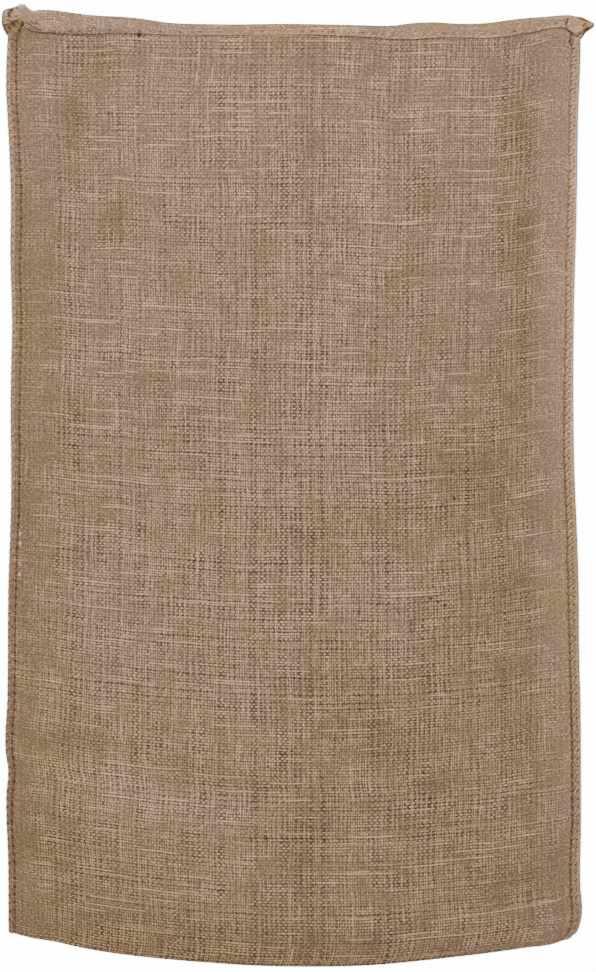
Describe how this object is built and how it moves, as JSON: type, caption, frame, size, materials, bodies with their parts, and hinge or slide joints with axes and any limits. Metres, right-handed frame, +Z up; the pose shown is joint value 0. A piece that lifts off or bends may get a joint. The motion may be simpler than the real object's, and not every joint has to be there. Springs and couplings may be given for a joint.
{
  "type": "jute sack",
  "caption": "Empty jute sack lying flat: one folded length of coarse plain-weave hessian, whipped up both sides and hemmed at its open mouth, for holding loose goods.",
  "frame": {"origin": "centre of the sack's outline, on the surface that it lies on", "axes": "+Z up off the surface, out of the front layer; +Y along the sack from the folded bottom to the open mouth; +X to the right as seen from above with the mouth away from the viewer"},
  "size_m": [0.6243, 1.015, 0.0125],
  "materials": {
    "jute_hessian": "matt, coarse plain weave of natural tan-brown jute with lighter slubs, dark gaps between the yarns and loose fibres"
  },
  "bodies": {
    "root": {"sack_cloth": "jute_hessian"}
  },
  "joints": []
}
